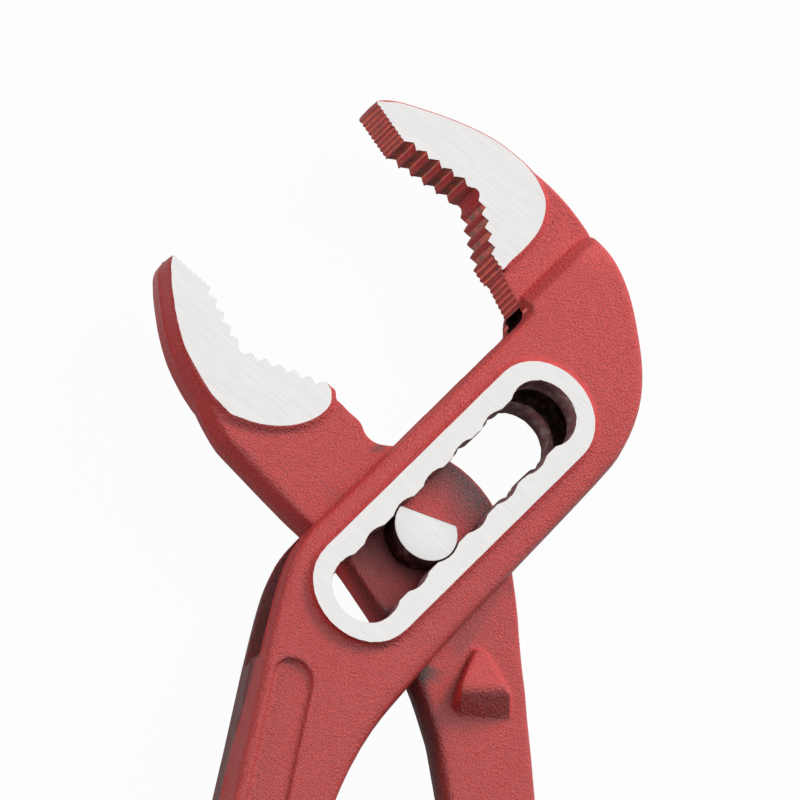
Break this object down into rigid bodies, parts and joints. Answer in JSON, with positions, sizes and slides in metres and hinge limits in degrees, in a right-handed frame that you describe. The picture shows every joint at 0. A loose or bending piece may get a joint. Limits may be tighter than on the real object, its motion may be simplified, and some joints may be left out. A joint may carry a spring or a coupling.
{
  "type": "water pump pliers",
  "caption": "Red box-joint water pump pliers: a toothed lower jaw passes through a notched slot in the other arm on a bolt with D-shaped heads, for gripping pipes and nuts.",
  "frame": {"origin": "on the pivot axis, at the rear faces of the slot land and the bolt, which lie in one plane", "axes": "+Z along the pivot axis towards the front face, +Y towards the jaws, +X towards the outer arm's jaw"},
  "size_m": [0.1135, 0.2528, 0.0132],
  "materials": {
    "outer_paint": "satin powder coat, bare ground steel on the jaw pads and the slot land",
    "inner_paint": "satin powder coat, bare ground steel on the jaw pads",
    "bolt_steel": "ground steel"
  },
  "bodies": {
    "outer_arm": {"outer_arm": "outer_paint"},
    "bolt": {"bolt_core": "bolt_steel"},
    "inner_arm": {"inner_arm": "inner_paint", "front_bolt_head": "bolt_steel", "rear_bolt_head": "bolt_steel"}
  },
  "joints": [
    {"name": "notch_slide", "type": "slide", "parent": "outer_arm", "child": "bolt", "axis": [0.7169, 0.6972, 0], "range_m": [-0.0158, 0.0316]},
    {"name": "arm_pivot", "type": "hinge", "parent": "bolt", "child": "inner_arm", "pos_m": [0, 0, 0.0066], "axis": [0, 0, 1], "range_deg": [-13, 39]}
  ]
}
